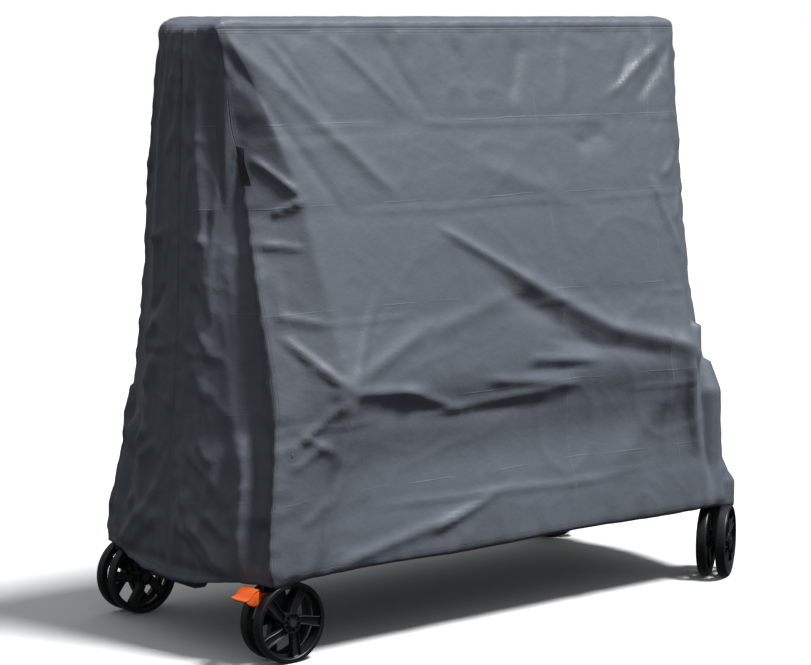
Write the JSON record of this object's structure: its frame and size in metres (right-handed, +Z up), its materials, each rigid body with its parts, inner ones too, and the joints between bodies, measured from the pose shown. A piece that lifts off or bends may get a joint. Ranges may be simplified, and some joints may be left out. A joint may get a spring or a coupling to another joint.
{
  "type": "ping pong table",
  "caption": "Folding table-tennis table stored upright on swivelling casters with foot brakes, under a fitted fabric cover.",
  "frame": {"origin": "on the floor, under the middle of the folded and covered table", "axes": "+X along the long side, +Y from the front half to the back half, +Z up"},
  "size_m": [1.7716, 0.8676, 1.556],
  "materials": {
    "cover_fabric": "coated woven, slight sheen",
    "label_fabric": "woven satin",
    "net_mesh": "knotted mesh",
    "net_tape": "woven tape",
    "table_top": "matte, fine texture",
    "black_plastic": "moulded, satin",
    "caster_plastic": "moulded, satin",
    "wheel_plastic": "moulded, satin",
    "orange_plastic": "moulded, semi-gloss",
    "zinc_steel": "zinc-plated",
    "painted_steel": "powder-coated"
  },
  "bodies": {
    "chassis": {"end_beam_left": "painted_steel", "end_beam_right": "painted_steel", "upright_front_left": "painted_steel", "upright_front_right": "painted_steel", "upright_back_left": "painted_steel", "upright_back_right": "painted_steel", "cross_rail_front": "painted_steel", "cross_rail_back": "painted_steel", "pivot_pins": "zinc_steel", "swivel_stems": "zinc_steel", "net_posts": "painted_steel", "net": "net_mesh", "net_tape": "net_tape", "tube_caps": "black_plastic", "rest_block": "black_plastic"},
    "front_half": {"front_board": "table_top", "front_side_rails": "painted_steel", "front_cross_rails": "painted_steel", "front_hinge_plates": "zinc_steel", "front_leg_brackets": "zinc_steel"},
    "back_half": {"back_board": "table_top", "back_side_rails": "painted_steel", "back_cross_rails": "painted_steel", "back_hinge_plates": "zinc_steel", "back_leg_brackets": "zinc_steel"},
    "front_legs": {"front_leg_left": "painted_steel", "front_leg_right": "painted_steel", "front_leg_brace": "painted_steel", "front_feet": "black_plastic"},
    "back_legs": {"back_leg_left": "painted_steel", "back_leg_right": "painted_steel", "back_leg_brace": "painted_steel", "back_feet": "black_plastic"},
    "cover": {"cover_top": "cover_fabric", "cover_front": "cover_fabric", "cover_back": "cover_fabric", "cover_end_left": "cover_fabric", "cover_end_right": "cover_fabric", "cover_hem": "cover_fabric", "label_tag": "label_fabric"},
    "caster_front_left": {"caster_fork_front_left": "caster_plastic", "caster_axle_front_left": "painted_steel"},
    "wheel_outer_front_left": {"wheel_outer_front_left": "wheel_plastic"},
    "wheel_inner_front_left": {"wheel_inner_front_left": "wheel_plastic"},
    "pedal_front_left": {"brake_pedal_front_left": "orange_plastic"},
    "caster_front_right": {"caster_fork_front_right": "caster_plastic", "caster_axle_front_right": "painted_steel"},
    "wheel_outer_front_right": {"wheel_outer_front_right": "wheel_plastic"},
    "wheel_inner_front_right": {"wheel_inner_front_right": "wheel_plastic"},
    "caster_back_left": {"caster_fork_back_left": "caster_plastic", "caster_axle_back_left": "painted_steel"},
    "wheel_outer_back_left": {"wheel_outer_back_left": "wheel_plastic"},
    "wheel_inner_back_left": {"wheel_inner_back_left": "wheel_plastic"},
    "caster_back_right": {"caster_fork_back_right": "caster_plastic", "caster_axle_back_right": "painted_steel"},
    "wheel_outer_back_right": {"wheel_outer_back_right": "wheel_plastic"},
    "wheel_inner_back_right": {"wheel_inner_back_right": "wheel_plastic"},
    "pedal_back_right": {"brake_pedal_back_right": "orange_plastic"}
  },
  "joints": [
    {"name": "front_fold", "type": "hinge", "parent": "chassis", "child": "front_half", "pos_m": [0, -0.3439, 0.5102], "axis": [1, 0, 0], "range_deg": [0, 91], "deforming": ["cover_front", "cover_top", "cover_end_left", "cover_end_right", "cover_hem", "label_tag"]},
    {"name": "back_fold", "type": "hinge", "parent": "chassis", "child": "back_half", "pos_m": [0, 0.3439, 0.5102], "axis": [-1, 0, 0], "range_deg": [0, 91], "deforming": ["cover_back"]},
    {"name": "front_legs_fold", "type": "hinge", "parent": "front_half", "child": "front_legs", "pos_m": [0, -0.14218, 1.30591], "axis": [1, 0, 0], "range_deg": [-73.5, 0]},
    {"name": "back_legs_fold", "type": "hinge", "parent": "back_half", "child": "back_legs", "pos_m": [0, 0.14218, 1.30591], "axis": [-1, 0, 0], "range_deg": [-73.5, 0]},
    {"name": "cover_lift", "type": "slide", "parent": "chassis", "child": "cover", "axis": [0, 0, 1], "range_m": [0, 1.36]},
    {"name": "swivel_front_left", "type": "hinge", "parent": "chassis", "child": "caster_front_left", "pos_m": [-0.782, -0.326, 0.225], "axis": [0, 0, 1], "continuous": true},
    {"name": "spin_outer_front_left", "type": "hinge", "parent": "caster_front_left", "child": "wheel_outer_front_left", "pos_m": [-0.746, -0.326, 0.1], "axis": [0, -1, 0], "continuous": true},
    {"name": "spin_inner_front_left", "type": "hinge", "parent": "caster_front_left", "child": "wheel_inner_front_left", "pos_m": [-0.746, -0.326, 0.1], "axis": [0, -1, 0], "continuous": true},
    {"name": "brake_front_left", "type": "hinge", "parent": "caster_front_left", "child": "pedal_front_left", "pos_m": [-0.802, -0.326, 0.168], "axis": [0, -1, 0], "range_deg": [0, 16]},
    {"name": "swivel_front_right", "type": "hinge", "parent": "chassis", "child": "caster_front_right", "pos_m": [0.782, -0.326, 0.225], "axis": [0, 0, 1], "continuous": true},
    {"name": "spin_outer_front_right", "type": "hinge", "parent": "caster_front_right", "child": "wheel_outer_front_right", "pos_m": [0.75216, -0.34613, 0.1], "axis": [-0.5592, 0.829, 0], "continuous": true},
    {"name": "spin_inner_front_right", "type": "hinge", "parent": "caster_front_right", "child": "wheel_inner_front_right", "pos_m": [0.75216, -0.34613, 0.1], "axis": [-0.5592, 0.829, 0], "continuous": true},
    {"name": "swivel_back_left", "type": "hinge", "parent": "chassis", "child": "caster_back_left", "pos_m": [-0.782, 0.326, 0.225], "axis": [0, 0, 1], "continuous": true},
    {"name": "spin_outer_back_left", "type": "hinge", "parent": "caster_back_left", "child": "wheel_outer_back_left", "pos_m": [-0.746, 0.326, 0.1], "axis": [0, -1, 0], "continuous": true},
    {"name": "spin_inner_back_left", "type": "hinge", "parent": "caster_back_left", "child": "wheel_inner_back_left", "pos_m": [-0.746, 0.326, 0.1], "axis": [0, -1, 0], "continuous": true},
    {"name": "swivel_back_right", "type": "hinge", "parent": "chassis", "child": "caster_back_right", "pos_m": [0.782, 0.326, 0.225], "axis": [0, 0, 1], "continuous": true},
    {"name": "spin_outer_back_right", "type": "hinge", "parent": "caster_back_right", "child": "wheel_outer_back_right", "pos_m": [0.75216, 0.34613, 0.1], "axis": [0.5592, 0.829, 0], "continuous": true},
    {"name": "spin_inner_back_right", "type": "hinge", "parent": "caster_back_right", "child": "wheel_inner_back_right", "pos_m": [0.75216, 0.34613, 0.1], "axis": [0.5592, 0.829, 0], "continuous": true},
    {"name": "brake_back_right", "type": "hinge", "parent": "caster_back_right", "child": "pedal_back_right", "pos_m": [0.79858, 0.31482, 0.168], "axis": [0.5592, 0.829, 0], "range_deg": [0, 16]}
  ],
  "couplings": [
    {"joint": "front_legs_fold", "follows": "front_fold", "ratio": -0.8076},
    {"joint": "back_legs_fold", "follows": "back_fold", "ratio": -0.8076}
  ]
}
